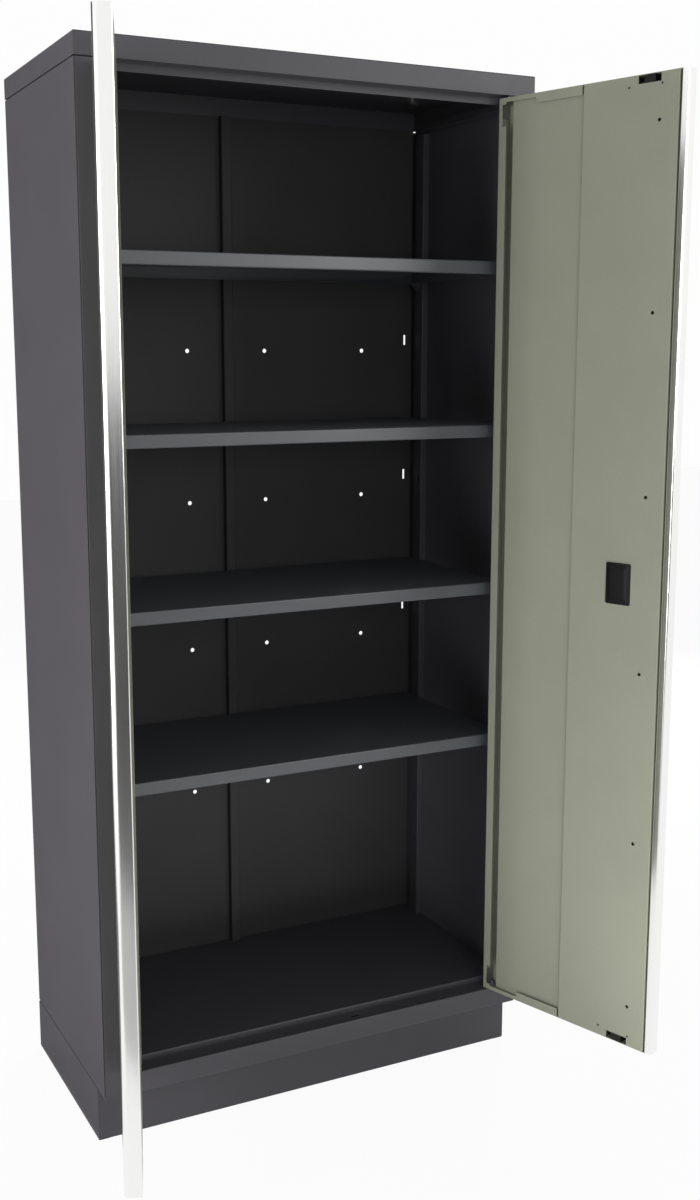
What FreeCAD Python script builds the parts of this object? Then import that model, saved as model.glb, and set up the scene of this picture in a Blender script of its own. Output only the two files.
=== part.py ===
import FreeCAD, Part
import math
import os

# A tall two-door steel tool cabinet on a plinth, standing with both doors open.
# Millimetres. +Z is up and the doors face -Y. The origin lies on the floor, in the middle
# of the plinth's front flange.

# Carcass
width = 915.0
depth = 457.0
height = 2000.0
sheet = 1.2
bend = 2.4
seam = 0.3
overrun = 20.0

# Plinth and cap
plinth_height = 105.0
plinth_recess = 44.0
plinth_flange = 22.0
cap_height = 39.0

# Front posts, rails and floor
post_width = 42.0
stop_depth = 36.0
rail_height = 41.0
rail_return = 72.0
ledge_lap = 14.0
floor_step = 12.0
stop_lip = 13.0
rail_flange = 25.0

# Back panels
rear_flange = 18.0
joint_offset = -2.0
joint_flange = 12.0
joint_strip_width = 22.0
joint_strip_depth = 15.0
back_hole_radius = 4.5
back_hole_offset = 208.0
back_hole_spacing = 238.0
back_hole_bottom = 361.0
back_hole_top = 478.0
back_hole_rows = 4
light_slot_width = 5.0
light_slot_height = 22.0
light_slot_inset = 4.5
light_slot_bottom = 742.0
light_slot_top = 454.0
light_slot_count = 3

# Slotted uprights, shelves and their clips
upright_width = 32.0
upright_depth = 14.0
upright_setback = 18.0
upright_top_gap = 14.0
slot_width = 4.0
slot_height = 14.0
slot_bottom = 81.0
slot_top = 117.0
slot_count = 16
shelf_slots = (13, 10, 7, 4)
shelf_flange = 25.0
shelf_hem = 14.0
shelf_setback = 8.0
shelf_back_gap = 5.0
shelf_end_gap = 2.0
clip_thick = 3.0
clip_reach = 16.0
clip_drop = 18.0
clip_toe = 5.0
clip_hook = 4.0
clip_fit = 0.5

# Doors
hinge_gap = 3.5
centre_gap = 3.0
door_recess = 1.0
door_thick = 30.0
door_foot_gap = 3.0
door_head_gap = 7.0
left_open = 109.1
right_open = 107.6
lip = 18.0
notch_start = 14.0
notch_length = 74.0
notch_height = 10.0
pivot_notch_width = 9.0
pivot_notch_start = 12.0
pivot_notch_length = 40.0
stiffener_start = 192.0
panel_step = 7.0
panel_slope = 2.5
lip_gap = 10.0
edge_groove = 4.5
fixing_hole_radius = 3.2
fixing_hole_margin = 80.0
fixing_hole_count = 6
fixing_hole_from_free = 55.5

# Aluminium edge trim
trim_depth = 12.0
trim_wall = 2.0
trim_round = 4.5

# Pivot hinges
pivot_inset = 7.0
pin_radius = 3.0
pin_clearance = 0.5
pin_seat = 9.0
pin_reach = 5.0
bush_radius = 4.6
bush_proud = 1.5
bush_reach = 4.0
running_fit = 0.05
bracket_thick = 3.0
bracket_arm = 25.0
bracket_leg = 34.0
bracket_depth = 20.0

# Lock and its two rods
lock_from_free = 107.5
lock_cover_width = 53.0
lock_cover_height = 78.0
lock_cover_depth = 5.0
lock_cover_wall = 2.0
lock_cover_corner = 3.0
lock_cover_bevel = 1.5
lock_cover_lap = 5.0
escutcheon_radius = 15.0
escutcheon_thick = 3.0
barrel_radius = 11.0
barrel_length = 11.0
plug_radius = 7.0
plug_proud = 1.5
key_slot_width = 1.6
key_slot_length = 9.0
key_slot_depth = 4.0
cam_reach = 20.0
cam_half = 8.0
cam_corner = 4.0
cam_thick = 3.0
crank_radius = 15.0
crank_pin_radius = 2.5
crank_pin_length = 5.5
lock_turn = 90.0
rod_from_free = 77.5
rod_width = 12.0
rod_thick = 3.0
rod_gap = 1.0
rod_bend = 18.0
rod_retreat = 2.0
rod_joggle_start = 60.0
rod_joggle_length = 70.0
rod_head_margin = 4.0
rod_head_end = 9.0
rod_fit = 0.6
rod_hole_fit = 1.5
guide_cut = 46.0
guide_width = 22.0
guide_height = 14.0
guide_back = 4.0
guide_screw_radius = 2.0
guide_screw_drop = 18.0
guide_screw_near = 25.0
guide_screw_far = 42.0

# Planes that several pieces share
x_side = width / 2
y_front = -plinth_recess - plinth_flange / 2
y_back = y_front + depth
y_stop = y_front + stop_depth
y_plinth = y_front + plinth_recess
z_ledge = plinth_height + rail_height
z_floor = z_ledge + floor_step
z_cap = height - cap_height
x_post = x_side - post_width
x_wall = x_side - sheet
y_back_skin = y_back - sheet
y_back_face = y_back_skin - sheet

# The closed door: its edges, its faces and its pivot
x_edge = x_post - hinge_gap
x_free = centre_gap / 2
x_skin = x_free + trim_depth
y_outer = y_front + door_recess
y_inner = y_outer + door_thick
z_foot = z_ledge + door_foot_gap
z_head = z_cap - door_head_gap
z_middle = (z_foot + z_head) / 2
x_pivot = x_edge - pivot_inset
y_pivot = y_outer + pivot_inset
x_step = x_edge - stiffener_start
x_lock = x_free + lock_from_free
x_rod = x_free + rod_from_free
y_cam = y_outer + barrel_length + running_fit
y_rod = y_cam + cam_thick + rod_gap
half_turn = math.radians(lock_turn / 2)
crank_side = crank_radius * math.cos(half_turn)
crank_rise = crank_radius * math.sin(half_turn)

UP = FreeCAD.Vector(0, 0, 1)
ACROSS = FreeCAD.Vector(1, 0, 0)
INWARD = FreeCAD.Vector(0, 1, 0)
ORIGIN = FreeCAD.Vector(0, 0, 0)


def point_on(plane, first, second, level):
    """Place a flat point on the plane named by its two axes."""
    if plane == "xy":
        return FreeCAD.Vector(first, second, level)
    if plane == "yz":
        return FreeCAD.Vector(level, first, second)
    return FreeCAD.Vector(first, level, second)


def extrude(plane, points, radii, start, stop):
    """Extrude a closed outline of straight runs and rounded corners."""
    corners = [point_on(plane, a, b, start) for a, b in points]
    edges = []
    tangents = []
    for index, corner in enumerate(corners):
        radius = radii[index]
        before = corners[index - 1].sub(corner).normalize()
        after = corners[(index + 1) % len(corners)].sub(corner).normalize()
        if radius <= 0:
            tangents.append((corner, corner, None))
            continue
        half = before.getAngle(after) / 2
        reach = radius / math.tan(half)
        inward = before.add(after).normalize()
        crown = corner.add(inward.multiply(radius / math.sin(half) - radius))
        tangents.append((corner.add(before.multiply(reach)), corner.add(after.multiply(reach)), crown))
    for index, (enter, leave, crown) in enumerate(tangents):
        previous = tangents[index - 1][1]
        if previous.distanceToPoint(enter) > 0:
            edges.append(Part.LineSegment(previous, enter).toShape())
        if crown is not None:
            edges.append(Part.Arc(enter, crown, leave).toShape())
    face = Part.Face(Part.Wire(edges))
    return face.extrude(point_on(plane, 0, 0, stop - start))


def fold(plane, path, thick, radius, start, stop):
    """Extrude a folded sheet: the path is its outer line, and the sheet lies to its left.

    Each fold is rounded on its outer side and sharp on its inner side.
    """
    runs = []
    for (a0, b0), (a1, b1) in zip(path, path[1:]):
        length = math.hypot(a1 - a0, b1 - b0)
        runs.append(((a1 - a0) / length, (b1 - b0) / length))
    outer_radii = []
    inner = []
    inner_radii = []
    for index, (a, b) in enumerate(path):
        first = runs[max(index - 1, 0)]
        second = runs[min(index, len(runs) - 1)]
        spread = 1 + first[0] * second[0] + first[1] * second[1]
        shift = thick / spread
        inner.append((a - (first[1] + second[1]) * shift, b + (first[0] + second[0]) * shift))
        turn = first[0] * second[1] - first[1] * second[0]
        if index in (0, len(path) - 1):
            outer_radii.append(0)
            inner_radii.append(0)
        elif turn > 0:
            outer_radii.append(radius)
            inner_radii.append(0)
        else:
            outer_radii.append(0)
            inner_radii.append(radius)
    points = list(path) + inner[::-1]
    return extrude(plane, points, outer_radii + inner_radii[::-1], start, stop)


def box(x0, x1, y0, y1, z0, z1):
    return Part.makeBox(x1 - x0, y1 - y0, z1 - z0, FreeCAD.Vector(x0, y0, z0))


def rod_at(radius, x, y, z0, z1):
    """An upright cylinder."""
    return Part.makeCylinder(radius, z1 - z0, FreeCAD.Vector(x, y, z0), UP)


def peg(radius, x, z, y0, y1):
    """A cylinder that runs from front to back."""
    return Part.makeCylinder(radius, y1 - y0, FreeCAD.Vector(x, y0, z), INWARD)


def eight_sided(plane, radius, first, second, start, stop):
    """A prism with eight flats at a radius, for small holes and keyed bodies that repeat."""
    step = math.radians(45)
    across = radius / math.cos(step / 2)
    turns = [step * (index + 1 / 2) for index in range(8)]
    corners = [(first + across * math.cos(turn), second + across * math.sin(turn)) for turn in turns]
    return extrude(plane, corners, [0] * len(corners), start, stop)


def mirror(shape):
    return shape.mirror(ORIGIN, ACROSS)


def flip(shape):
    """Turn a piece at a door's head into the one at its foot."""
    return shape.mirror(FreeCAD.Vector(0, 0, z_middle), UP)


def pan(x0, x1, y0, y1, z0, z1):
    """A sheet tray, open below, with rounded upper folds."""
    outer = box(x0, x1, y0, y1, z0, z1)
    folds = [edge for edge in outer.Edges if edge.CenterOfMass.z > z1 - sheet]
    outer = outer.makeFillet(bend, folds)
    hollow = box(x0 + sheet, x1 - sheet, y0 + sheet, y1 - sheet, z0 - overrun, z1 - sheet)
    return outer.cut(hollow)


def swing(shape, side):
    """Open a door piece from its closed place to where it stands."""
    turned = shape.copy()
    if side > 0:
        turned.rotate(FreeCAD.Vector(x_pivot, y_pivot, 0), UP, right_open)
    else:
        turned.rotate(FreeCAD.Vector(-x_pivot, y_pivot, 0), UP, -left_open)
    return turned


# Plinth


def plinth_cross(y_face, inward):
    """The plinth's front or back piece: a full-width face with turned-in edges."""
    y_far = y_face + inward * plinth_flange
    path = [(y_far, plinth_height), (y_face, plinth_height), (y_face, 0), (y_far, 0)]
    if inward < 0:
        path.reverse()
    reach = x_side - plinth_flange - seam
    channel = fold("yz", path, sheet, bend, -reach, reach)
    y_low = min(y_face, y_face + inward * sheet)
    face = box(-x_side, x_side, y_low, y_low + sheet, bend, plinth_height - bend)
    return channel.fuse(face).removeSplitter()


def plinth_side():
    """The plinth's right side piece, between the front and back faces."""
    x_far = x_side - plinth_flange
    path = [(x_far, 0), (x_side, 0), (x_side, plinth_height), (x_far, plinth_height)]
    return fold("xz", path, sheet, bend, y_plinth + sheet, y_back - sheet)


# Carcass


def side_panel():
    """The right side: a flat sheet turned in along the back."""
    path = [(x_side, y_front), (x_side, y_back), (x_side - rear_flange, y_back)]
    return fold("xy", path, sheet, bend, plinth_height, z_cap)


def post():
    """The right front post: a folded box section inside the side panel."""
    x_out = x_wall - seam
    path = [(x_out, y_stop), (x_post, y_stop), (x_post, y_front), (x_out, y_front)]
    path.append((x_out, y_stop - 2 * sheet))
    return fold("xy", path, sheet, bend, plinth_height, z_cap)


def rod_hole(z0, z1):
    """The hole that a lock rod enters when the right door is shut."""
    half = rod_width / 2 + rod_hole_fit
    return box(x_rod - half, x_rod + half, y_rod - rod_hole_fit, y_rod + rod_thick + rod_hole_fit, z0, z1)


def drill_rail(rail, z0, z1):
    for side in (-1, 1):
        rail = rail.cut(eight_sided("xy", bush_radius + running_fit, side * x_pivot, y_pivot, z0, z1))
    return rail.cut(rod_hole(z0, z1))


def bottom_rail():
    """The front rail under the doors, folded back into the ledge they close over."""
    reach = x_post - seam
    path = [(y_stop + ledge_lap, z_ledge), (y_front, z_ledge), (y_front, plinth_height)]
    path.append((y_front + rail_return, plinth_height))
    rail = fold("yz", path, sheet, bend, -reach, reach)
    return drill_rail(rail, z_ledge - overrun, z_ledge + overrun)


def top_rail():
    """The rail over the doors: a ledge inside the cap with a stop lip turned down."""
    reach = x_post - seam
    y_cap = y_front + sheet + seam
    path = [(y_cap, z_cap + rail_flange), (y_cap, z_cap), (y_stop, z_cap), (y_stop, z_cap - stop_lip)]
    rail = fold("yz", path, sheet, bend, -reach, reach)
    return drill_rail(rail, z_cap - overrun, z_cap + overrun)


def floor_panel():
    """The raised floor tray: its front fold is the step that the doors stop at."""
    reach = x_wall - seam
    return pan(-reach, reach, y_stop + seam, y_back_face - seam, z_ledge, z_floor)


def top_cap():
    return pan(-x_side, x_side, y_front, y_back, z_cap, height)


# Back


def spread(bottom, top, count):
    """Even levels between a height over the floor and a depth under the cap."""
    low = z_floor + bottom
    run = z_cap - top - low
    return [low + run * row / (count - 1) for row in range(count)]


def back_hole_places(side):
    """Two columns of holes in each back panel, set off alike from the joint."""
    centre = joint_offset + side * back_hole_offset
    columns = (centre - back_hole_spacing / 2, centre + back_hole_spacing / 2)
    rows = spread(back_hole_bottom, back_hole_top, back_hole_rows)
    return [(x, z) for x in columns for z in rows]


def back_panel(side):
    """One half of the back, turned inwards along the joint near the middle."""
    x_joint = joint_offset + side * seam
    x_far = side * (x_wall - bend)
    path = [(x_joint, y_back_skin - joint_flange), (x_joint, y_back_skin), (x_far, y_back_skin)]
    if side > 0:
        path.reverse()
    panel = fold("xy", path, sheet, bend, plinth_height, z_cap)
    x_near = min(x_joint, x_joint + side * sheet)
    panel = panel.cut(box(x_near, x_near + sheet, y_back_skin - joint_flange - sheet, y_back_face,
                          plinth_height - sheet, z_floor + seam))
    for x, z in back_hole_places(side):
        panel = panel.cut(peg(back_hole_radius, x, z, y_back_face - sheet, y_back))
    half = light_slot_height / 2
    x_slot = side * (x_side - rear_flange - light_slot_inset)
    for z in spread(light_slot_bottom, light_slot_top, light_slot_count):
        x_low = x_slot - light_slot_width / 2
        slot = box(x_low, x_low + light_slot_width, y_back_face - sheet, y_back, z - half, z + half)
        panel = panel.cut(slot)
    return panel


def back_joint_strip():
    """A channel that grips the two turned edges where the back panels meet."""
    x0 = joint_offset - joint_strip_width / 2
    x1 = joint_offset + joint_strip_width / 2
    y_near = y_back_face - joint_strip_depth
    path = [(x0, y_back_face), (x0, y_near), (x1, y_near), (x1, y_back_face)]
    return fold("xy", path, sheet, bend, z_floor, z_cap)


# Shelves


def slot_level(index):
    return spread(slot_bottom, slot_top, slot_count)[index]


def upright_starts():
    """Where the front and the rear uprights begin, from front to back."""
    return (y_stop + upright_setback, y_back_face - joint_strip_depth - upright_setback - upright_width)


def upright(y0):
    """A slotted channel on the right wall."""
    y1 = y0 + upright_width
    x_face = x_wall - upright_depth
    path = [(x_wall, y1), (x_face, y1), (x_face, y0), (x_wall, y0)]
    channel = fold("xy", path, sheet, bend, z_floor, z_cap - upright_top_gap)
    y_slot = y0 + (upright_width - slot_width) / 2
    for index in range(slot_count):
        z = slot_level(index)
        slot = box(x_face - sheet, x_face + 2 * sheet, y_slot, y_slot + slot_width, z - slot_height, z)
        channel = channel.cut(slot)
    return channel


def shelf_clips():
    """Hooked plates in the slots, one at each corner of each shelf."""
    clips = []
    x_face = x_wall - upright_depth
    x_tip = x_face - clip_reach
    x_hook = x_face + sheet + clip_hook
    for index in shelf_slots:
        z = slot_level(index)
        z_hook = z - clip_fit
        z_under = z - slot_height + clip_fit
        outline = [(x_tip, z), (x_face, z), (x_face, z_hook), (x_hook, z_hook), (x_hook, z_under)]
        outline += [(x_face, z_under), (x_face, z - clip_drop), (x_face - clip_toe, z - clip_drop)]
        outline.append((x_tip, z - clip_toe))
        for y0 in upright_starts():
            y = y0 + (upright_width - clip_thick) / 2
            clip = extrude("xz", outline, [0] * len(outline), y, y + clip_thick)
            clips += [clip, mirror(clip)]
    return clips


def shelf(index):
    """A tray shelf with turned-under edges, resting on four clips."""
    z_under = slot_level(index)
    z_top = z_under + shelf_flange
    y0 = y_stop + shelf_setback
    y1 = y_back_face - joint_strip_depth - shelf_back_gap
    reach = x_wall - upright_depth - shelf_end_gap
    path = [(y1 - shelf_hem, z_under), (y1, z_under), (y1, z_top), (y0, z_top), (y0, z_under)]
    path.append((y0 + shelf_hem, z_under))
    tray = fold("yz", path, sheet, bend, -reach, reach)
    for side in (-1, 1):
        x_low = min(side * reach, side * (reach - sheet))
        end = box(x_low, x_low + sheet, y0 + bend, y1 - bend, z_under, z_top - sheet)
        tray = tray.fuse(end)
    return tray.removeSplitter()


# Doors, drawn closed on the right


def lock_window(margin):
    """The opening in the stiffener under the lock's cover."""
    half_x = lock_cover_width / 2 - margin
    half_z = lock_cover_height / 2 - margin
    return box(x_lock - half_x, x_lock + half_x, y_inner - 2 * sheet, y_inner + sheet,
               z_middle - half_z, z_middle + half_z)


def door_head():
    """The skin's upper edge: a full flange whose lip stops at the stiffener."""
    flange = box(x_skin, x_edge - bend, y_outer + sheet, y_inner, z_head - sheet, z_head)
    edge = box(x_step + seam, x_edge - bend, y_inner - sheet, y_inner, z_head - lip, z_head)
    x1 = x_edge - notch_start
    notch = box(x1 - notch_length, x1, y_inner - 2 * sheet, y_inner + sheet,
                z_head - lip - sheet, z_head - lip + notch_height)
    head = flange.fuse(edge.cut(notch))
    half = pin_radius + pin_clearance
    return head.cut(box(x_pivot - half, x_pivot + half, y_pivot - half, y_pivot + half,
                        z_head - 2 * sheet, z_head + sheet))


def door_skin(locking):
    """The outer skin: a tray with a rolled lip along the hinge side and at both ends."""
    path = [(x_skin, y_inner), (x_skin, y_outer), (x_edge, y_outer), (x_edge, y_inner)]
    path.append((x_edge - lip, y_inner))
    skin = fold("xy", path, sheet, bend, z_foot, z_head)
    head = door_head()
    if locking:
        head = head.cut(rod_slot(z_head - overrun, z_head + overrun))
    skin = skin.fuse(head).fuse(flip(head)).removeSplitter()
    x_lip = x_edge - lip
    notch = box(x_lip - sheet, x_lip + pivot_notch_width, y_inner - 2 * sheet, y_inner + sheet,
                z_head - pivot_notch_start - pivot_notch_length, z_head - pivot_notch_start)
    skin = skin.cut(notch).cut(flip(notch))
    if locking:
        hole = eight_sided("xz", barrel_radius + running_fit, x_lock, z_middle,
                           y_outer - sheet, y_outer + 2 * sheet)
        skin = skin.cut(hole)
    return skin


def door_stiffener(locking):
    """The inner panel that boxes the door in: a shallow step divides it in two levels."""
    x_start = x_edge - lip - lip_gap
    x_end = x_skin + sheet + edge_groove
    y_seat = y_outer + sheet
    y_low = y_inner - panel_step
    path = [(x_start, y_seat), (x_start, y_low), (x_step, y_low), (x_step - panel_slope, y_inner)]
    path += [(x_end, y_inner), (x_end, y_seat)]
    z0 = z_foot + sheet
    z1 = z_head - sheet
    panel = fold("xy", path, sheet, bend, z0, z1)
    half = guide_cut / 2
    z_cut = z1 - guide_height - seam
    cut = box(x_rod - half, x_rod + half, y_inner - 2 * sheet, y_inner + sheet, z_cut, z1 + sheet)
    panel = panel.cut(cut).cut(flip(cut))
    run = z_head - z_foot - 2 * fixing_hole_margin
    for row in range(fixing_hole_count):
        z = z_foot + fixing_hole_margin + run * row / (fixing_hole_count - 1)
        x = x_free + fixing_hole_from_free
        panel = panel.cut(eight_sided("xz", fixing_hole_radius, x, z, y_inner - 2 * sheet, y_inner + sheet))
    for x in (x_rod - guide_screw_near, x_rod + guide_screw_far):
        z = z1 - guide_screw_drop
        hole = eight_sided("xz", guide_screw_radius, x, z, y_inner - 2 * sheet, y_inner + sheet)
        panel = panel.cut(hole).cut(flip(hole))
    if locking:
        panel = panel.cut(lock_window(lock_cover_lap))
    return panel


def door_trim():
    """The bright pull along the free edge: an open extrusion with two rounded corners."""
    points = [(x_free, y_outer), (x_skin, y_outer), (x_skin, y_inner), (x_free, y_inner)]
    section = extrude("xy", points, [trim_round, 0, 0, trim_round], z_foot, z_head)
    hollow = box(x_free + trim_wall, x_skin + overrun, y_outer + trim_wall,
                 y_inner - trim_wall, z_foot - overrun, z_head + overrun)
    return section.cut(hollow)


def hinge_brackets():
    """Angle brackets in the hinge corners that hold the pivot pins."""
    x1 = x_edge - sheet
    y0 = y_outer + sheet
    z1 = z_head - sheet
    path = [(x1 - bracket_arm, z1), (x1, z1), (x1, z1 - bracket_leg)]
    path.reverse()
    upper = fold("xz", path, bracket_thick, bracket_thick + bend, y0 + bend, y0 + bracket_depth)
    bore = rod_at(pin_radius + running_fit, x_pivot, y_pivot, z1 - overrun, z1 + overrun)
    upper = upper.cut(bore)
    return [upper, flip(upper)]


def hinge_pins():
    z_root = z_head - sheet - pin_seat
    upper = rod_at(pin_radius, x_pivot, y_pivot, z_root, z_cap + sheet + pin_reach)
    lower = rod_at(pin_radius, x_pivot, y_pivot, z_ledge - sheet - pin_reach, z_foot + sheet + pin_seat)
    return [upper, lower]


def bush(z_face, away, side):
    """An eight-sided bush keyed in a rail, standing a little proud on the door's side."""
    x = side * x_pivot
    z_far = z_face + away * (sheet + bush_reach)
    z_near = z_face - away * bush_proud
    sleeve = eight_sided("xy", bush_radius, x, y_pivot, min(z_near, z_far), max(z_near, z_far))
    bore = rod_at(pin_radius + running_fit, x, y_pivot, z_face - overrun, z_face + overrun)
    return sleeve.cut(bore)


def hinge_bushes():
    bushes = []
    for side in (-1, 1):
        bushes += [bush(z_cap, 1, side), bush(z_ledge, -1, side)]
    return bushes


# Lock on the right door


def lock_housing():
    """The fixed barrel of the lock, keyed by its flats, with a ring on the outer face."""
    ring = peg(escutcheon_radius, x_lock, z_middle, y_outer - escutcheon_thick, y_outer)
    barrel = eight_sided("xz", barrel_radius, x_lock, z_middle, y_outer, y_outer + barrel_length)
    bore = peg(plug_radius + running_fit, x_lock, z_middle, y_outer - overrun, y_outer + overrun)
    return ring.fuse(barrel).cut(bore)


def lock_plug():
    """The turning plug with its key slot."""
    y0 = y_outer - escutcheon_thick - plug_proud
    plug = peg(plug_radius, x_lock, z_middle, y0, y_cam)
    half_x = key_slot_width / 2
    half_z = key_slot_length / 2
    slot = box(x_lock - half_x, x_lock + half_x, y0 - sheet, y0 + key_slot_depth,
               z_middle - half_z, z_middle + half_z)
    return plug.cut(slot)


def lock_cam():
    """The bar behind the plug, with a crank pin for each rod."""
    near = cam_half - cam_corner
    far = cam_reach - cam_corner
    ends = [(cam_reach, near), (far, cam_half), (-far, cam_half), (-cam_reach, near)]
    ends += [(-u, -v) for u, v in ends]
    along = math.cos(half_turn)
    rise = math.sin(half_turn)
    outline = [(x_lock + u * along - v * rise, z_middle + u * rise + v * along) for u, v in ends]
    bar = extrude("xz", outline, [0] * len(outline), y_cam, y_cam + cam_thick)
    for side in (-1, 1):
        x = x_lock + side * crank_side
        z = z_middle + side * crank_rise
        pin = peg(crank_pin_radius, x, z, y_cam + cam_thick, y_cam + cam_thick + crank_pin_length)
        bar = bar.fuse(pin)
    return bar


def lock_rod(upward):
    """A flat rod, cranked over to its guide, with a cross slot for its crank pin."""
    side = -upward
    x_near = x_lock + side * (crank_side - crank_pin_radius - rod_fit - rod_head_margin)
    x_far = x_lock + side * (crank_radius + crank_pin_radius + rod_fit + rod_head_margin)
    z_slot = z_middle - upward * crank_rise
    z_end = z_slot - upward * rod_head_end
    z_neck = z_slot + upward * rod_head_end
    head = box(min(x_near, x_far), max(x_near, x_far), y_rod, y_rod + rod_thick,
               min(z_end, z_neck), max(z_end, z_neck))
    x_bar = (x_near + x_far) / 2
    z_bend = z_middle + upward * rod_joggle_start
    z_line = z_bend + upward * rod_joggle_length
    z_tip = z_head - rod_retreat if upward > 0 else z_foot + rod_retreat
    half = rod_width / 2
    path = [(x_bar + half, z_slot + upward * (crank_pin_radius + rod_fit)), (x_bar + half, z_bend)]
    path += [(x_rod + half, z_line), (x_rod + half, z_tip)]
    if upward < 0:
        path = [(x - rod_width, z) for x, z in path]
    bar = fold("xz", path, rod_width, rod_bend, y_rod, y_rod + rod_thick)
    x_slot_near = x_lock + side * (crank_side - crank_pin_radius - rod_fit)
    x_slot_far = x_lock + side * (crank_radius + crank_pin_radius + rod_fit)
    rise = crank_pin_radius + rod_fit
    slot = box(min(x_slot_near, x_slot_far), max(x_slot_near, x_slot_far), y_rod - sheet,
               y_rod + rod_thick + sheet, z_slot - rise, z_slot + rise)
    return head.fuse(bar).cut(slot).removeSplitter()


def rod_slot(z0, z1):
    """The passage that a rod slides in, at a guide or a door's edge."""
    half = rod_width / 2 + running_fit
    return box(x_rod - half, x_rod + half, y_rod - running_fit, y_rod + rod_thick + running_fit, z0, z1)


def rod_guides():
    """Plastic guides in the stiffener's cut-outs, one at each end of the door."""
    half = guide_width / 2
    z1 = z_head - sheet
    upper = box(x_rod - half, x_rod + half, y_rod - guide_back, y_inner, z1 - guide_height, z1)
    upper = upper.cut(rod_slot(z1 - overrun, z1 + overrun))
    return [upper, flip(upper)]


def lock_cover():
    """The moulded cover over the lock on the inner face."""
    half_x = lock_cover_width / 2
    half_z = lock_cover_height / 2
    near_x = half_x - lock_cover_corner
    near_z = half_z - lock_cover_corner
    rim = [(half_x, -near_z), (half_x, near_z), (near_x, half_z), (-near_x, half_z)]
    rim += [(-x, -z) for x, z in rim]
    outline = [(x_lock + x, z_middle + z) for x, z in rim]
    shell = extrude("xz", outline, [0] * len(outline), y_inner, y_inner + lock_cover_depth)
    front = [e for e in shell.Edges if e.CenterOfMass.y > y_inner + lock_cover_depth - running_fit]
    shell = shell.makeChamfer(lock_cover_bevel, front)
    inset_x = half_x - lock_cover_wall
    inset_z = half_z - lock_cover_wall
    y_roof = y_inner + lock_cover_depth - lock_cover_wall
    hollow = box(x_lock - inset_x, x_lock + inset_x, y_inner - sheet, y_roof,
                 z_middle - inset_z, z_middle + inset_z)
    return shell.cut(hollow)


def export(name, shape):
    solids = shape if isinstance(shape, list) else [shape]
    whole = solids[0] if len(solids) == 1 else Part.makeCompound(solids)
    whole.exportStep("parts/" + name + ".step")


def export_pair(name, right):
    """A piece and its mirror image on the two sides of the carcass."""
    export("left_" + name, mirror(right))
    export("right_" + name, right)


def export_door(side, name, shapes):
    """A door piece, or group of pieces, opened to where the door stands."""
    solids = shapes if isinstance(shapes, list) else [shapes]
    hand = solids if side > 0 else [mirror(solid) for solid in solids]
    export(name, [swing(solid, side) for solid in hand])


os.makedirs("parts", exist_ok=True)

export("plinth_front", plinth_cross(y_plinth, 1))
export("plinth_back", plinth_cross(y_back, -1))
export_pair("plinth_side", plinth_side())
export_pair("side_panel", side_panel())
export_pair("post", post())
export("bottom_rail", bottom_rail())
export("top_rail", top_rail())
export("floor_panel", floor_panel())
export("top_cap", top_cap())
export("back_panel_left", back_panel(-1))
export("back_panel_right", back_panel(1))
export("back_joint_strip", back_joint_strip())
for place, start in zip(("front", "rear"), upright_starts()):
    export_pair(place + "_upright", upright(start))
export("shelf_clips", shelf_clips())
for number, slot_index in enumerate(shelf_slots, 1):
    export("shelf_" + str(number), shelf(slot_index))
export("hinge_bushes", hinge_bushes())
for hand, label in ((-1, "left"), (1, "right")):
    export_door(hand, label + "_door_skin", door_skin(hand > 0))
    export_door(hand, label + "_door_stiffener", door_stiffener(hand > 0))
    export_door(hand, label + "_door_trim", door_trim())
    export_door(hand, label + "_hinge_brackets", hinge_brackets())
    export_door(hand, label + "_hinge_pins", hinge_pins())
export_door(1, "lock_housing", lock_housing())
export_door(1, "lock_plug", lock_plug())
export_door(1, "lock_cam", lock_cam())
export_door(1, "lock_cover", lock_cover())
export_door(1, "upper_lock_rod", lock_rod(1))
export_door(1, "lower_lock_rod", lock_rod(-1))
export_door(1, "rod_guides", rod_guides())
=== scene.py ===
import math

import bmesh
import bpy
from bpy.props import FloatProperty, FloatVectorProperty, PointerProperty
from mathutils import Matrix, Vector


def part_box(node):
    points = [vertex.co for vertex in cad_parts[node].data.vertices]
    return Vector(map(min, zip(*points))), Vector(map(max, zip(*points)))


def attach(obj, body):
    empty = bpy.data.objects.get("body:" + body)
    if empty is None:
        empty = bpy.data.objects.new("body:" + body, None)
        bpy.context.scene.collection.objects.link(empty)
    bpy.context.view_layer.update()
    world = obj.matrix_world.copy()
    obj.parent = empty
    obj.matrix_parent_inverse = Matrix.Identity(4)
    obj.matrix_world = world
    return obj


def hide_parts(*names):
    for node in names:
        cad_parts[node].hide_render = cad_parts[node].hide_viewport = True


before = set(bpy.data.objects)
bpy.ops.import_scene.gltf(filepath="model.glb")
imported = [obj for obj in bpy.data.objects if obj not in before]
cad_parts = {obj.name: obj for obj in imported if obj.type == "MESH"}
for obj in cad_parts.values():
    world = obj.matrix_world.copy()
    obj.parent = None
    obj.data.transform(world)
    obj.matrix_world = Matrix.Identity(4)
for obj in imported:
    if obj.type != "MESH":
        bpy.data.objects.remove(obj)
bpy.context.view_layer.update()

bl_info = {
    "name": "Tool Cabinet",
    "version": (1, 0, 0),
    "blender": (4, 5, 0),
    "location": "3D View > Sidebar > Cabinet",
    "description": "Dresses a tall two-door steel tool cabinet and sets it on a studio floor",
    "category": "Object",
}

# One millimetre in metres: patterns are sized in millimetres, and other lengths are in metres.
MM = 0.001
# Points nearer to each other than this are one point.
NEAR = 0.01 * MM
# Edges that turn more than this stay sharp in the shading.
SHARP = math.radians(35)

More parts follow.
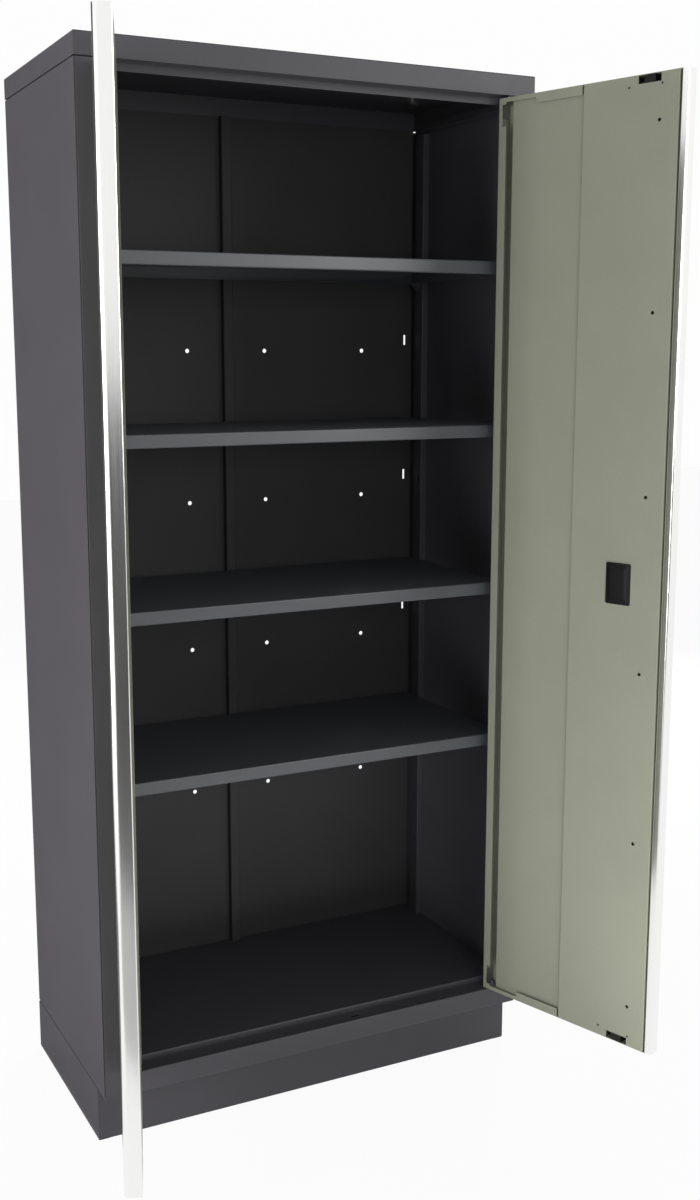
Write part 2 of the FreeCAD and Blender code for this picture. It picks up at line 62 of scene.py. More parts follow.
# The right door as it is drawn closed: its pivot, where the pull starts and ends across the door,
# its outer and inner faces, its foot and head, and the lock's place across it.
PIVOT_X, PIVOT_Y = 0.405, -0.047
DOOR_FREE, DOOR_SKIN = 0.0015, 0.0135
DOOR_OUTER, DOOR_INNER = -0.054, -0.024
DOOR_FOOT, DOOR_HEAD = 0.149, 1.954
DOOR_MIDDLE = (DOOR_FOOT + DOOR_HEAD) / 2
LOCK_X = 0.109
# How far each door stands open.
RIGHT_OPEN = math.radians(107.6)
LEFT_OPEN = math.radians(109.1)

# The side sheets' thickness, and the strips inside them that close their joints to the light.
SHEET = 0.0012
# A strip runs from the post to the back panel.
LAP_FRONT, LAP_BACK = -0.0185, 0.388
# The height of its root on the sheet, and how far short of the joint it steps inwards.
LAP_ROOT, LAP_STEP = 0.008, 0.0015
# How far behind the sheet the root and the stepped part lie.
LAP_FIT, LAP_DEPTH = 0.0001, 0.0028
# Where it ends, from the sheet's CAD end: up inside the cap, or just over the plinth's flange.
LAP_IN_CAP, LAP_ON_PLINTH = -0.01, 0.0002
# A post's front wall lies within this of its front.
POST_WALL = 0.003

# The lock cover's rim, corners and softened edge, and the bore and barrel of the lock's ring.
COVER_RIM, COVER_CORNER, COVER_EDGE = 0.004, 0.0035, 0.0007
BORE, BARREL, BARREL_DEPTH = 0.00705, 0.011, 0.011

# The floor's half width, how much of it shows as plain white, and over what share of the plinth's
# width and depth it stays dark. The surround's strength as light and as the white that is seen.
FLOOR_HALF = 12
FLOOR_WHITE = 0.95
PLINTH_SHADE = 0.97
WORLD_LIGHT, WORLD_WHITE = 0.27, 0.985
# How high a card lies over the floor.
CARD_LIFT = 0.002

# Noise keeps mostly within these values, which each finish spreads over a range of its own.
NOISE_SPAN = {"From_Min": 0.3, "From_Max": 0.7}

DOOR_PAINT = ("left_door_skin", "left_door_stiffener", "right_door_skin", "right_door_stiffener")
ZINC = ("shelf_clips", "left_hinge_brackets", "right_hinge_brackets", "left_hinge_pins",
        "right_hinge_pins", "lock_cam", "upper_lock_rod", "lower_lock_rod")
NYLON = ("hinge_bushes", "rod_guides", "lock_cover")
CHROME = ("lock_plug", "lock_housing")
ALUMINIUM = ("left_door_trim", "right_door_trim")
SHELVES = ("shelf_1", "shelf_2", "shelf_3", "shelf_4")
BACK = ("back_panel_left", "back_panel_right", "back_joint_strip")


def linear(code):
    """An sRGB hex colour as linear red, green and blue."""
    shares = [int(code[place:place + 2], 16) / 255 for place in (0, 2, 4)]
    return tuple(c / 12.92 if c <= 0.04045 else ((c + 0.055) / 1.055) ** 2.4 for c in shares)


class CabinetColours(bpy.types.PropertyGroup):
    carcass: FloatVectorProperty(
        name="Carcass paint", description="Charcoal powder coat of the carcass and the plinth",
        subtype="COLOR", size=3, min=0, max=1, default=linear("4d4b50"))
    # The shelf colour is lighter than the carcass paint as painted light for the light on the shelf
    # fronts; its slightly cooler tint is the paint's own colour.
    shelves: FloatVectorProperty(
        name="Shelf paint", description="Smoother, cooler charcoal coat of the four shelves",
        subtype="COLOR", size=3, min=0, max=1, default=linear("525458"))
    # The back colour is darker than the carcass paint as painted shade for the shade deep inside the
    # bays; its neutral tint is the paint's own colour.
    back: FloatVectorProperty(
        name="Back paint", description="Matt charcoal coat of the back panels and their joint strip",
        subtype="COLOR", size=3, min=0, max=1, default=linear("444446"))
    doors: FloatVectorProperty(
        name="Door paint", description="Warm grey powder coat of both doors",
        subtype="COLOR", size=3, min=0, max=1, default=linear("909283"))
    aluminium: FloatVectorProperty(
        name="Edge aluminium", description="Anodised aluminium of the two edge pulls",
        subtype="COLOR", size=3, min=0, max=1, default=linear("f4f4f2"))
    zinc: FloatVectorProperty(
        name="Zinc plating", description="Plated steel of the clips, brackets, pins and rods",
        subtype="COLOR", size=3, min=0, max=1, default=linear("b4b6b8"))
    chrome: FloatVectorProperty(
        name="Chrome", description="Plating of the lock's ring and plug",
        subtype="COLOR", size=3, min=0, max=1, default=linear("d3d5d8"))
    nylon: FloatVectorProperty(
        name="Black nylon", description="Moulded lock cover, bushes and rod guides",
        subtype="COLOR", size=3, min=0, max=1, default=linear("121213"))
    floor: FloatVectorProperty(
        name="Floor", description="Plain pale studio floor",
        subtype="COLOR", size=3, min=0, max=1, default=linear("f4f4f4"))


class CabinetSizes(bpy.types.PropertyGroup):
    pull_wall: FloatProperty(
        name="Pull wall", description="Wall of the aluminium extrusion",
        unit="LENGTH", min=0.001, default=0.002)
    pull_round: FloatProperty(
        name="Pull rounding", description="Rounding of the extrusion's corner on the door's outer side",
        unit="LENGTH", min=0.0025, default=0.0095)
    pull_edge: FloatProperty(
        name="Pull inner rounding", description="Rounding of the extrusion's corner on the inner side",
        unit="LENGTH", min=0.0021, default=0.0025)
    cap_seam: FloatProperty(
        name="Cap seam", description="Open joint between the cap and the sides and posts under it",
        unit="LENGTH", min=0.0005, default=0.0025)
    plinth_seam: FloatProperty(
        name="Plinth seam", description="Open joint between the plinth and the sides over it",
        unit="LENGTH", min=0.0005, default=0.004)
    cover_width: FloatProperty(
        name="Lock cover width", description="Width of the cover on the right door's inner face",
        unit="LENGTH", min=0.03, default=0.053)
    cover_height: FloatProperty(
        name="Lock cover height", description="Height of the cover on the right door's inner face",
        unit="LENGTH", min=0.04, default=0.078)
    cover_depth: FloatProperty(
        name="Lock cover depth", description="How far the cover stands off the door",
        unit="LENGTH", min=0.002, default=0.005)
    ring_radius: FloatProperty(
        name="Lock ring radius", description="Outer radius of the ring round the key plug",
        unit="LENGTH", min=0.012, default=0.015)
    ring_height: FloatProperty(
        name="Lock ring height", description="How far the ring stands off the door's outer face",
        unit="LENGTH", min=0.001, default=0.003)


def add(tree, kind, links=None, **settings):
    """Add a node, set its sockets and fields by name, and link what feeds it."""
    node = tree.nodes.new(kind)
    for name, value in settings.items():
        if name in node.bl_rna.properties:
            setattr(node, name, value)
        else:
            node.inputs[name.replace("_", " ")].default_value = value
    for name, source in (links or {}).items():
        tree.links.new(source, node.inputs[name])
    return node


def blank(name):
    """A material with no nodes yet, and its tree."""
    material = bpy.data.materials.new(name)
    material.use_nodes = True
    material.node_tree.nodes.clear()
    return material, material.node_tree


def powder_coat(name, colour, grain_mm, grain_bump, rough, sheen, mottle):
    """Baked polyester powder on steel: satin, faintly grained, and uneven in gloss.

    The real grain is about 0.2 mm; it is drawn 7 to 11 times coarser so that it shows.
    """
    material, tree = blank(name)
    place = add(tree, "ShaderNodeTexCoord").outputs["Object"]
    grain = add(tree, "ShaderNodeTexNoise", {"Vector": place}, Scale=1 / (grain_mm * MM), Detail=3.0,
                Roughness=0.6)
    # Broad drifts of film thickness, about a hand's width across.
    drift = add(tree, "ShaderNodeTexNoise", {"Vector": place}, Scale=1 / (140 * MM), Detail=2.0)
    shade = add(tree, "ShaderNodeMapRange", {"Value": drift.outputs["Fac"]}, **NOISE_SPAN,
                To_Min=1 - mottle, To_Max=1 + mottle)
    # The grain differs more in shade than the drifts do.
    speckle = 1.6 * mottle
    speck = add(tree, "ShaderNodeMapRange", {"Value": grain.outputs["Fac"]}, **NOISE_SPAN,
                To_Min=1 - speckle, To_Max=1 + speckle)
    both = add(tree, "ShaderNodeMath", {0: shade.outputs["Result"], 1: speck.outputs["Result"]},
               operation="MULTIPLY")
    tint = add(tree, "ShaderNodeVectorMath", {"Scale": both.outputs["Value"]}, operation="SCALE")
    tint.inputs[0].default_value = colour
    gloss = add(tree, "ShaderNodeMapRange", {"Value": grain.outputs["Fac"]}, **NOISE_SPAN,
                To_Min=rough - 0.05, To_Max=rough + 0.07)
    bump = add(tree, "ShaderNodeBump", {"Height": grain.outputs["Fac"]}, Strength=grain_bump,
               Distance=0.2 * MM)
    shader = add(tree, "ShaderNodeBsdfPrincipled", {
        "Base Color": tint.outputs["Vector"], "Roughness": gloss.outputs["Result"],
        "Normal": bump.outputs["Normal"]}, IOR=1.5, Specular_IOR_Level=sheen)
    add(tree, "ShaderNodeOutputMaterial", {"Surface": shader.outputs["BSDF"]})
    return material


def anodised_aluminium(colour):
    """Bright anodised extrusion: a soft metal sheen with fine die lines along its length.

    Die lines are about 0.1 mm apart; they are drawn near 0.8 mm so that they show.
    """
    material, tree = blank("anodised_aluminium")
    place = add(tree, "ShaderNodeTexCoord").outputs["Object"]
    across, along = 1 / (0.8 * MM), 1 / (900 * MM)
    run = add(tree, "ShaderNodeMapping", {"Vector": place}, Scale=(across, across, along))
    lines = add(tree, "ShaderNodeTexNoise", {"Vector": run.outputs["Vector"]}, Scale=1.0, Detail=2.0)
    rough = add(tree, "ShaderNodeMapRange", {"Value": lines.outputs["Fac"]}, **NOISE_SPAN,
                To_Min=0.14, To_Max=0.22)
    bump = add(tree, "ShaderNodeBump", {"Height": lines.outputs["Fac"]}, Strength=0.12,
               Distance=0.1 * MM)
    shader = add(tree, "ShaderNodeBsdfPrincipled", {
        "Roughness": rough.outputs["Result"], "Normal": bump.outputs["Normal"]},
        Base_Color=(*colour, 1), Metallic=1.0)
    add(tree, "ShaderNodeOutputMaterial", {"Surface": shader.outputs["BSDF"]})
    return material


def plated_metal(name, colour, patch_mm, smoothest, roughest):
    """Plated steel: a thin bright skin, clouded where the plating crystals differ."""
    material, tree = blank(name)
    place = add(tree, "ShaderNodeTexCoord").outputs["Object"]
    patch = add(tree, "ShaderNodeTexNoise", {"Vector": place}, Scale=1 / (patch_mm * MM), Detail=4.0)
    rough = add(tree, "ShaderNodeMapRange", {"Value": patch.outputs["Fac"]}, **NOISE_SPAN,
                To_Min=smoothest, To_Max=roughest)
    bump = add(tree, "ShaderNodeBump", {"Height": patch.outputs["Fac"]}, Strength=0.05,
               Distance=0.1 * MM)
    shader = add(tree, "ShaderNodeBsdfPrincipled", {
        "Roughness": rough.outputs["Result"], "Normal": bump.outputs["Normal"]},
        Base_Color=(*colour, 1), Metallic=1.0)
    add(tree, "ShaderNodeOutputMaterial", {"Surface": shader.outputs["BSDF"]})
    return material


def moulded_nylon(colour):
    """Black moulded nylon: dull, with a spark-eroded texture of about 0.4 mm, drawn at 0.9 mm."""
    material, tree = blank("moulded_nylon")
    place = add(tree, "ShaderNodeTexCoord").outputs["Object"]
    pits = add(tree, "ShaderNodeTexVoronoi", {"Vector": place}, Scale=1 / (0.9 * MM))
    rough = add(tree, "ShaderNodeMapRange", {"Value": pits.outputs["Distance"]}, From_Min=0.0,
                From_Max=0.8, To_Min=0.46, To_Max=0.58)
    bump = add(tree, "ShaderNodeBump", {"Height": pits.outputs["Distance"]}, Strength=0.15,
               Distance=0.1 * MM)
    shader = add(tree, "ShaderNodeBsdfPrincipled", {
        "Roughness": rough.outputs["Result"], "Normal": bump.outputs["Normal"]},
        Base_Color=(*colour, 1), IOR=1.53, Specular_IOR_Level=0.2)
    add(tree, "ShaderNodeOutputMaterial", {"Surface": shader.outputs["BSDF"]})
    return material


def seen_directly(tree):
    """A value of 1 for what the camera, gloss and glass see, and of 0 for light that falls on things."""
    path = add(tree, "ShaderNodeLightPath")
    gloss = add(tree, "ShaderNodeMath", {
        0: path.outputs["Is Camera Ray"], 1: path.outputs["Is Glossy Ray"]}, operation="MAXIMUM")
    glass = add(tree, "ShaderNodeMath", {
        0: gloss.outputs["Value"], 1: path.outputs["Is Transmission Ray"]}, operation="MAXIMUM")
    return glass.outputs["Value"]


def dress(nodes, material):
    """Give CAD nodes their finish."""
    for name in nodes:
        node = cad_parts[name]
        node.data.materials.clear()
        node.data.materials.append(material)


def finish_of(name):
    """The finish that an earlier operator made, by its material's name."""
    if name not in bpy.data.materials:
        raise RuntimeError("the finish " + name + " is made before this piece")
    return bpy.data.materials[name]


def points_of(geometry):
    """The points among what a bmesh operator made."""
    return [item for item in geometry if isinstance(item, bmesh.types.BMVert)]


def door_turn(side):
    """Carry a piece drawn on the closed right door to where its door stands."""
    if side > 0:
        angle, mirror = RIGHT_OPEN, Matrix.Identity(4)
    else:
        angle, mirror = -LEFT_OPEN, Matrix.Scale(-1, 4, Vector((1, 0, 0)))
    hinge = Matrix.Translation(Vector((side * PIVOT_X, PIVOT_Y, 0)))
    return hinge @ Matrix.Rotation(angle, 4, "Z") @ hinge.inverted() @ mirror


def mesh_object(name, shape, material):
    """Turn a finished bmesh into an object with one finish."""
    mesh = bpy.data.meshes.new(name)
    shape.to_mesh(mesh)
    shape.free()
    mesh.materials.append(material)
    made = bpy.data.objects.new(name, mesh)
    bpy.context.scene.collection.objects.link(made)
    return made


def set_piece(name, shape, material, body, node):
    """Turn a finished bmesh into a piece that stands for a CAD node and rides on its body."""
    bmesh.ops.recalc_face_normals(shape, faces=shape.faces)
    piece = mesh_object(name, shape, material)
    piece.data.shade_smooth()
    piece.data.set_sharp_from_angle(angle=SHARP)
    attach(piece, body)
    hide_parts(node)


class CABINET_OT_carcass(bpy.types.Operator):
    """Coat the carcass, the back and the shelves in charcoal powder paints"""
    bl_idname = "cabinet.carcass"
    bl_label = "Carcass, Back and Shelves"

    def execute(self, context):
        colours = context.scene.cabinet_colours
        special = DOOR_PAINT + ZINC + NYLON + CHROME + ALUMINIUM + SHELVES + BACK
        paint = powder_coat("charcoal_powder_coat", colours.carcass, grain_mm=1.6, grain_bump=0.5,
                            rough=0.48, sheen=0.35, mottle=0.045)
        dress([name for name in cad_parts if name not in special], paint)
        # The shelves get a lighter copy of the charcoal coat: its lighter colour is painted light on the
        # shelf fronts, and its cooler tint is the paint's own.
        paint = powder_coat("shelf_charcoal_coat_painted_light", colours.shelves, grain_mm=1.4,
                            grain_bump=0.35, rough=0.42, sheen=0.55, mottle=0.03)
        dress(SHELVES, paint)
        # The back panels and their joint strip get a darker copy of the charcoal coat: its darker colour
        # is painted shade deep in the bays, and its neutral tint is the paint's own.
        paint = powder_coat("back_charcoal_coat_painted_shade", colours.back, grain_mm=1.8, grain_bump=0.5,
                            rough=0.58, sheen=0.22, mottle=0.045)
        dress(BACK, paint)
        return {"FINISHED"}


class CABINET_OT_side_sheets(bpy.types.Operator):
    """Stop the sides and the front posts short of the cap and the plinth, so that the joints show"""
    bl_idname = "cabinet.side_sheets"
    bl_label = "Sides and Posts"

    def execute(self, context):
        sizes = context.scene.cabinet_sizes
        paint = finish_of("charcoal_powder_coat")
        for hand, inward in (("left", 1), ("right", -1)):
            low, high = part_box(hand + "_side_panel")
            shape = self.merged_copy(hand + "_side_panel")
            head = [v for v in shape.verts if v.co.z > high[2] - MM]
            foot = [v for v in shape.verts if v.co.z < low[2] + MM]
            bmesh.ops.translate(shape, verts=head, vec=(0, 0, -sizes.cap_seam))
            bmesh.ops.translate(shape, verts=foot, vec=(0, 0, sizes.plinth_seam))
            face = low[0] if inward > 0 else high[0]
            self.add_lap(shape, face, inward, high[2], -1, sizes.cap_seam, LAP_IN_CAP)
            self.add_lap(shape, face, inward, low[2], 1, sizes.plinth_seam, LAP_ON_PLINTH)
            set_piece(hand + "_side_sheet", shape, paint, "cabinet", hand + "_side_panel")
            # A post only meets the cap, and only its front wall shows the joint.
            low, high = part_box(hand + "_post")
            shape = self.merged_copy(hand + "_post")
            head = [v for v in shape.verts
                    if v.co.z > high[2] - MM and v.co.y < low[1] + POST_WALL]
            bmesh.ops.translate(shape, verts=head, vec=(0, 0, -sizes.cap_seam))
            set_piece(hand + "_post_section", shape, paint, "cabinet", hand + "_post")
        return {"FINISHED"}

    def merged_copy(self, node):
        """A CAD node's shape with its loose triangles joined."""
        shape = bmesh.new()
        shape.from_mesh(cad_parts[node].data)
        bmesh.ops.remove_doubles(shape, verts=shape.verts, dist=NEAR)
        return shape

    def add_lap(self, shape, face, inward, level, away, seam, tip):
        """Close a joint from inside with a joggled strip on the sheet, set back behind the joint."""
        step = seam + LAP_STEP
        root = step + LAP_ROOT
        inner, back = SHEET + LAP_FIT, SHEET + LAP_DEPTH
        profile = ((inner, root), (inner, step), (back, step), (back, tip), (back + SHEET, tip),
                   (back + SHEET, step + SHEET), (inner + SHEET, step + SHEET), (inner + SHEET, root))
        verts = [shape.verts.new((face + inward * depth, LAP_FRONT, level + away * height))
                 for depth, height in profile]
        strip = shape.faces.new(verts)
        grown = bmesh.ops.extrude_face_region(shape, geom=[strip])["geom"]
        bmesh.ops.translate(shape, verts=points_of(grown), vec=(0, LAP_BACK - LAP_FRONT, 0))


class CABINET_OT_doors(bpy.types.Operator):
    """Coat both doors in warm grey powder paint"""
    bl_idname = "cabinet.doors"
    bl_label = "Doors"

    def execute(self, context):
        colours = context.scene.cabinet_colours
        paint = powder_coat("warm_grey_powder_coat", colours.doors, grain_mm=2.2, grain_bump=0.4,
                            rough=0.5, sheen=0.3, mottle=0.025)
        dress(DOOR_PAINT, paint)
        return {"FINISHED"}


class CABINET_OT_hardware(bpy.types.Operator):
    """Finish the clips, hinges, rods, lock, guides and pulls"""
    bl_idname = "cabinet.hardware"
    bl_label = "Hinges, Clips and Lock Works"

    def execute(self, context):
        colours = context.scene.cabinet_colours
        dress(ZINC, plated_metal("zinc_plated_steel", colours.zinc, patch_mm=6, smoothest=0.28,
                                 roughest=0.46))
        dress(CHROME, plated_metal("chrome_plate", colours.chrome, patch_mm=12, smoothest=0.08,
                                   roughest=0.16))
        dress(NYLON, moulded_nylon(colours.nylon))
        dress(ALUMINIUM, anodised_aluminium(colours.aluminium))
        return {"FINISHED"}


class CABINET_OT_edge_pulls(bpy.types.Operator):
    """Extrude the bright pull along the free edge of each door"""
    bl_idname = "cabinet.edge_pulls"
    bl_label = "Edge Pulls"

    def execute(self, context):
        sizes = context.scene.cabinet_sizes
        for hand, side in (("left", -1), ("right", 1)):
            shape = bmesh.new()
            corners = [shape.verts.new(place) for place in (
                (DOOR_SKIN, DOOR_OUTER, DOOR_FOOT), (DOOR_FREE, DOOR_OUTER, DOOR_FOOT),
                (DOOR_FREE, DOOR_INNER, DOOR_FOOT), (DOOR_SKIN, DOOR_INNER, DOOR_FOOT))]
            section = [shape.edges.new(pair) for pair in zip(corners, corners[1:])]
            raised = bmesh.ops.extrude_edge_only(shape, edges=section)["geom"]
            bmesh.ops.translate(shape, verts=points_of(raised), vec=(0, 0, DOOR_HEAD - DOOR_FOOT))
            for depth, offset in ((DOOR_OUTER, sizes.pull_round), (DOOR_INNER, sizes.pull_edge)):
                corner = [e for e in shape.edges if len(e.link_faces) == 2
                          and all(abs(v.co.y - depth) < MM for v in e.verts)
                          and all(abs(v.co.x - DOOR_FREE) < MM for v in e.verts)]
                bmesh.ops.bevel(shape, geom=corner, offset=offset, affect="EDGES", segments=8,
                                profile=0.5, material=-1)
            # The wall grows away from the side that the faces look to, so they look outwards first.
            middle = Vector((DOOR_SKIN, (DOOR_OUTER + DOOR_INNER) / 2, DOOR_MIDDLE))
            bmesh.ops.recalc_face_normals(shape, faces=shape.faces)
            largest = max(shape.faces, key=lambda f: f.calc_area())
            if largest.normal.dot(largest.calc_center_median() - middle) < 0:
                bmesh.ops.reverse_faces(shape, faces=shape.faces)
            bmesh.ops.solidify(shape, geom=shape.faces[:], thickness=sizes.pull_wall)
            bmesh.ops.transform(shape, matrix=door_turn(side), verts=shape.verts)
            set_piece(hand + "_edge_pull", shape, finish_of("anodised_aluminium"), hand + "_door",
                      hand + "_door_trim")
        return {"FINISHED"}


class CABINET_OT_lock_cover(bpy.types.Operator):
    """Mould the black cover over the lock on the right door's inner face"""
    bl_idname = "cabinet.lock_cover"
    bl_label = "Lock Cover"

    def execute(self, context):
        sizes = context.scene.cabinet_sizes
        depth = sizes.cover_depth
        # A thin plate with rounded corners and a softened upper edge.
        plate = depth * 0.45
        shape = bmesh.new()
        bmesh.ops.create_cube(shape, size=1)
        bmesh.ops.scale(shape, vec=(sizes.cover_width, plate, sizes.cover_height), verts=shape.verts)
        upright = [e for e in shape.edges if abs(e.verts[0].co.y - e.verts[1].co.y) > plate / 2]
        bmesh.ops.bevel(shape, geom=upright, offset=COVER_CORNER, affect="EDGES", segments=5,
                        profile=0.5, material=-1)
        top = max(shape.faces, key=lambda f: f.calc_center_median().y)
        bmesh.ops.bevel(shape, geom=list(top.edges), offset=COVER_EDGE, affect="EDGES", segments=3,
                        profile=0.5, material=-1, clamp_overlap=True)
        bmesh.ops.translate(shape, vec=(0, plate / 2, 0), verts=shape.verts)
        # The panel inside the rim starts in the plate, and its face swells to the cover's full depth,
        # nearly flat over the middle and steep at the rim.
        thick, middle, swell = depth * 0.3, depth * 0.25, depth * 0.6
        panel = bmesh.ops.create_cube(shape, size=1)["verts"]
        half_x, half_z = sizes.cover_width / 2 - COVER_RIM, sizes.cover_height / 2 - COVER_RIM
        bmesh.ops.scale(shape, vec=(half_x * 2, thick, half_z * 2), verts=panel)
        bmesh.ops.translate(shape, vec=(0, middle, 0), verts=panel)
        edges = list({e for v in panel for e in v.link_edges})
        grown = bmesh.ops.subdivide_edges(shape, edges=edges, cuts=15, use_grid_fill=True)["geom"]
        for vert in set(points_of(grown)):
            if vert.co.y > middle + thick / 2 - NEAR:
                across, along = vert.co.x / half_x, vert.co.z / half_z
                share = max(0, (1 - abs(across) ** 5) * (1 - abs(along) ** 7)) ** 0.6
                vert.co.y += swell * share
        bmesh.ops.translate(shape, vec=(LOCK_X, DOOR_INNER, DOOR_MIDDLE), verts=shape.verts)
        bmesh.ops.transform(shape, matrix=door_turn(1), verts=shape.verts)
        set_piece("lock_cover_moulding", shape, finish_of("moulded_nylon"), "right_door", "lock_cover")
        return {"FINISHED"}


class CABINET_OT_lock_ring(bpy.types.Operator):
    """Spin the chromed ring and barrel round the key plug"""
    bl_idname = "cabinet.lock_ring"
    bl_label = "Lock Ring"

    def execute(self, context):
        sizes = context.scene.cabinet_sizes
        rim, face = sizes.ring_radius, -sizes.ring_height
        # Radius and level, from the barrel's inner end, round the rim and to the lip at the plug.
        profile = ((BORE, BARREL_DEPTH), (BARREL, BARREL_DEPTH), (BARREL, 0), (rim, 0),
                   (rim, face * 0.45), (rim - 0.0006, face * 0.8), (rim - 0.002, face),
                   (BORE + 0.0016, face), (BORE + 0.0004, face * 0.85), (BORE, face * 0.6))
        shape = bmesh.new()
        verts = [shape.verts.new((LOCK_X + radius, DOOR_OUTER + level, DOOR_MIDDLE))
                 for radius, level in profile]
        edges = [shape.edges.new(pair) for pair in zip(verts, verts[1:] + verts[:1])]
        bmesh.ops.spin(shape, geom=verts + edges, cent=(LOCK_X, 0, DOOR_MIDDLE), axis=(0, 1, 0),
                       angle=math.tau, steps=64, use_merge=True)
        bmesh.ops.remove_doubles(shape, verts=shape.verts, dist=NEAR)
        bmesh.ops.transform(shape, matrix=door_turn(1), verts=shape.verts)
        set_piece("lock_ring", shape, finish_of("chrome_plate"), "right_door", "lock_housing")
        return {"FINISHED"}


class CABINET_OT_stage(bpy.types.Operator):
    """Set the pale floor, the soft lights, the white surround and the camera"""
    bl_idname = "cabinet.stage"
    bl_label = "Studio"

    def execute(self, context):
        scene = context.scene
        scene.view_settings.view_transform = "Standard"
        self.lay_floor(scene)
        self.light_world(scene)
        self.hang_lamps(scene)
        self.stand_cards()
        self.place_camera(scene)
        return {"FINISHED"}

    def lay_floor(self, scene):
        material, tree = blank("studio_floor")
        # Under the plinth no light reaches the floor, so there it shows no glow.
        place = add(tree, "ShaderNodeTexCoord").outputs["Object"]
        low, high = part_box("plinth_front")[0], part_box("plinth_back")[1]
        middle = add(tree, "ShaderNodeVectorMath", {0: place}, operation="SUBTRACT")
        middle.inputs[1].default_value = [(a + b) / 2 for a, b in zip(low, high)]
        span = add(tree, "ShaderNodeVectorMath", {0: middle.outputs["Vector"]}, operation="DIVIDE")
        span.inputs[1].default_value = [(b - a) / 2 for a, b in zip(low, high)]
        away = add(tree, "ShaderNodeVectorMath", {0: span.outputs["Vector"]}, operation="ABSOLUTE")
        axes = add(tree, "ShaderNodeSeparateXYZ", {"Vector": away.outputs["Vector"]})
        reach = add(tree, "ShaderNodeMath", {0: axes.outputs["X"], 1: axes.outputs["Y"]},
                    operation="MAXIMUM")
        clear = add(tree, "ShaderNodeMath", {0: reach.outputs["Value"]}, operation="GREATER_THAN")
        clear.inputs[1].default_value = PLINTH_SHADE
        part = add(tree, "ShaderNodeMath", {0: seen_directly(tree), 1: clear.outputs["Value"]},
                   operation="MULTIPLY")
        share = add(tree, "ShaderNodeMath", {0: part.outputs["Value"]}, operation="MULTIPLY")
        share.inputs[1].default_value = FLOOR_WHITE
        paper = add(tree, "ShaderNodeBsdfDiffuse", Color=(*scene.cabinet_colours.floor, 1))
        glow = add(tree, "ShaderNodeEmission", Strength=1.0)
        mixed = add(tree, "ShaderNodeMixShader", {
            0: share.outputs["Value"], 1: paper.outputs["BSDF"], 2: glow.outputs["Emission"]})
        add(tree, "ShaderNodeOutputMaterial", {"Surface": mixed.outputs["Shader"]})
        shape = bmesh.new()
        bmesh.ops.create_grid(shape, x_segments=4, y_segments=4, size=FLOOR_HALF)
        floor = mesh_object("studio_floor", shape, material)

    def light_world(self, scene):
        world = bpy.data.worlds.new("studio")
        world.use_nodes = True
        tree = world.node_tree
        tree.nodes.clear()
        level = add(tree, "ShaderNodeMapRange", {"Value": seen_directly(tree)}, To_Min=WORLD_LIGHT,
                    To_Max=WORLD_WHITE)
        glow = add(tree, "ShaderNodeBackground", {"Strength": level.outputs["Result"]},
                   Color=(1, 1, 1, 1))
        add(tree, "ShaderNodeOutputWorld", {"Surface": glow.outputs["Background"]})
        scene.world = world

    def hang_lamps(self, scene):
        # Name, place, aim, size across and up, power in watts, and whether it fills and shows as gloss.
        lamps = (
            ("side_softbox", (-3.6, 0.1, 1.1), (-0.45, 0.15, 1.0), (0.8, 2.0), 48, True, True),
            ("key_softbox", (-3.5, -1.7, 1.15), (0.0, -0.1, 0.95), (0.6, 2.0), 68, True, True),
            ("floor_reflector", (0.0, -1.0, 0.03), (0.0, -1.05, 2.0), (1.3, 0.9), 13, True, False),
            ("rear_softbox", (2.7, 3.3, 1.7), (0.2, 0.2, 1.0), (1.4, 2.0), 150, True, True),
            ("fill_softbox", (-0.7, -3.7, 1.6), (0.0, 0.0, 1.2), (0.7, 1.2), 19, True, False),
            ("sheen_softbox", (2.5, -3.0, 2.1), (0.2, 0.0, 1.5), (1.1, 1.9), 92, False, True),
        )
        for name, place, aim, size, power, fills, shines in lamps:
            data = bpy.data.lights.new(name, "AREA")
            data.shape = "RECTANGLE"
            data.size, data.size_y = size
            data.energy = power
            lamp = bpy.data.objects.new(name, data)
            lamp.location = place
            lamp.rotation_euler = (Vector(aim) - Vector(place)).to_track_quat("-Z", "Y").to_euler()
            lamp.visible_camera = False
            lamp.visible_diffuse = fills
            lamp.visible_glossy = shines
            scene.collection.objects.link(lamp)

    def stand_cards(self):
        # Cards that only reflections see, as a studio uses to shape the gloss.
        # Name, colour, middle, half sizes across and up or along, tilt from lying flat, turn.
        upright = math.pi / 2
        cards = (
            ("room_flag", "686868", (0.0, -4.5, 0.65), (3.4, 0.65), upright, 0),
            ("aisle_flag", "686868", (-1.5, -3.25, CARD_LIFT), (1.1, 1.25), 0, 0),
            ("apron_flag", "d8d8d8", (-1.2, -1.55, CARD_LIFT), (0.8, 0.45), 0, 0),
            ("side_flag", "505050", (-2.4, 2.2, 1.5), (2.0, 1.5), upright, 0.4),
            ("side_floor_flag", "808080", (-1.19, 1.52, CARD_LIFT), (0.731, 1.56), 0, 0),
        )
        for name, colour, middle, half, tilt, turn in cards:
            material, tree = blank(name)
            cloth = add(tree, "ShaderNodeBsdfDiffuse", Color=(*linear(colour), 1))
            add(tree, "ShaderNodeOutputMaterial", {"Surface": cloth.outputs["BSDF"]})
            shape = bmesh.new()
            bmesh.ops.create_grid(shape, x_segments=2, y_segments=2, size=1)
            stand = (Matrix.Translation(Vector(middle)) @ Matrix.Rotation(turn, 4, "Z")
                     @ Matrix.Rotation(tilt, 4, "X") @ Matrix.Diagonal((*half, 1, 1)))
            bmesh.ops.transform(shape, matrix=stand, verts=shape.verts)
            flag = mesh_object(name, shape, material)
            flag.visible_camera = False
            flag.visible_diffuse = False
            flag.visible_shadow = False

    def place_camera(self, scene):
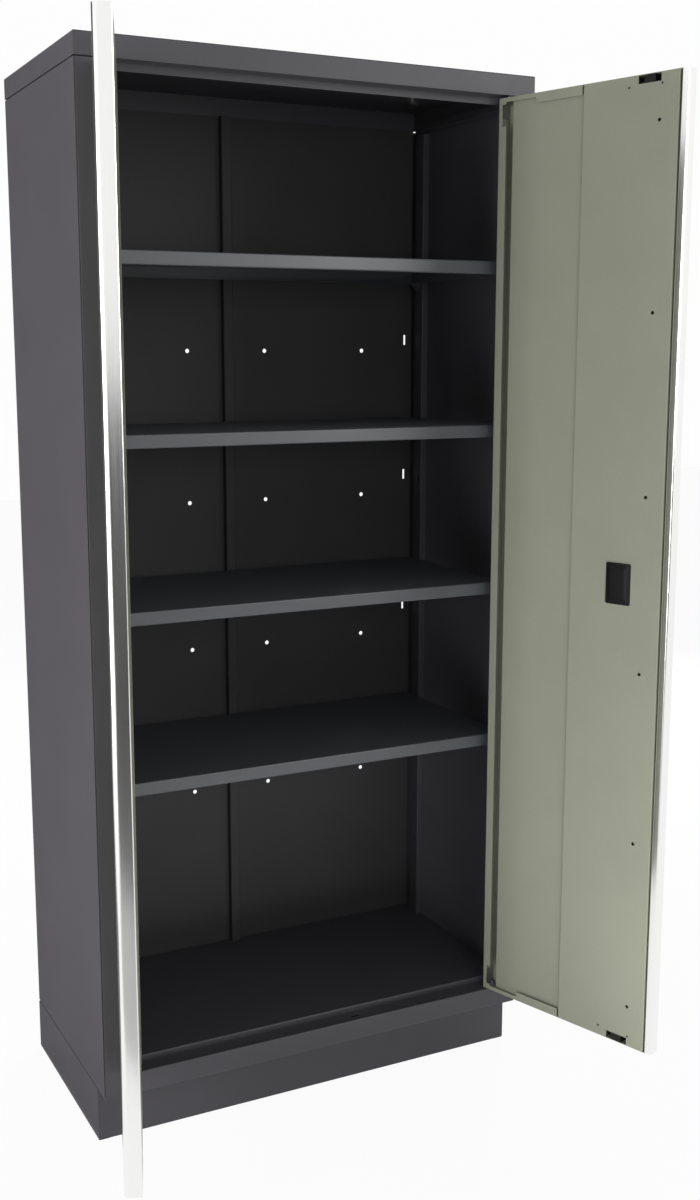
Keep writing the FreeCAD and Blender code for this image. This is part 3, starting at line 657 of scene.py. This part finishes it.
        # Fitted to the carcass's edges in the photograph: place, turns, lens and framing.
        place = Vector((-1.1593, -2.3618, 1.4695))
        yaw, pitch, roll = math.radians(26.151), math.radians(9.549), math.radians(-0.193)
        right = Vector((math.cos(yaw), -math.sin(yaw), 0))
        level = Vector((math.sin(yaw), math.cos(yaw), 0))
        up = Vector((0, 0, 1))
        ahead = level * math.cos(pitch) - up * math.sin(pitch)
        head = up * math.cos(pitch) + level * math.sin(pitch)
        across = right * math.cos(roll) + head * math.sin(roll)
        over = head * math.cos(roll) - right * math.sin(roll)
        data = bpy.data.cameras.new("photo_camera")
        data.sensor_fit = "VERTICAL"
        data.sensor_height = 36
        data.lens = 41.46
        data.shift_x = 0.0327
        data.shift_y = -0.00875
        camera = bpy.data.objects.new("photo_camera", data)
        turn = Matrix((across, over, -ahead)).transposed().to_4x4()
        camera.matrix_world = Matrix.Translation(place) @ turn
        scene.collection.objects.link(camera)
        scene.camera = camera


class CABINET_PT_sidebar(bpy.types.Panel):
    """Lists the cabinet's sizes and colours, and a button for each operator"""
    bl_idname = "CABINET_PT_sidebar"
    bl_label = "Tool Cabinet"
    bl_space_type = "VIEW_3D"
    bl_region_type = "UI"
    bl_category = "Cabinet"

    def draw(self, context):
        for settings in (context.scene.cabinet_sizes, context.scene.cabinet_colours):
            column = self.layout.column(align=True)
            for name in settings.__annotations__:
                column.prop(settings, name)
        for operator in OPERATORS:
            self.layout.operator(operator.bl_idname)


OPERATORS = (CABINET_OT_carcass, CABINET_OT_side_sheets, CABINET_OT_doors, CABINET_OT_hardware,
             CABINET_OT_edge_pulls, CABINET_OT_lock_cover, CABINET_OT_lock_ring, CABINET_OT_stage)
CLASSES = (CabinetColours, CabinetSizes) + OPERATORS + (CABINET_PT_sidebar,)


def register():
    for item in CLASSES:
        bpy.utils.register_class(item)
    bpy.types.Scene.cabinet_colours = PointerProperty(type=CabinetColours)
    bpy.types.Scene.cabinet_sizes = PointerProperty(type=CabinetSizes)


def unregister():
    del bpy.types.Scene.cabinet_sizes
    del bpy.types.Scene.cabinet_colours
    for item in reversed(CLASSES):
        bpy.utils.unregister_class(item)


def main():
    register()
    bpy.ops.cabinet.carcass()
    bpy.ops.cabinet.side_sheets()
    bpy.ops.cabinet.doors()
    bpy.ops.cabinet.hardware()
    bpy.ops.cabinet.edge_pulls()
    bpy.ops.cabinet.lock_cover()
    bpy.ops.cabinet.lock_ring()
    bpy.ops.cabinet.stage()


if __name__ == "__main__":
    main()
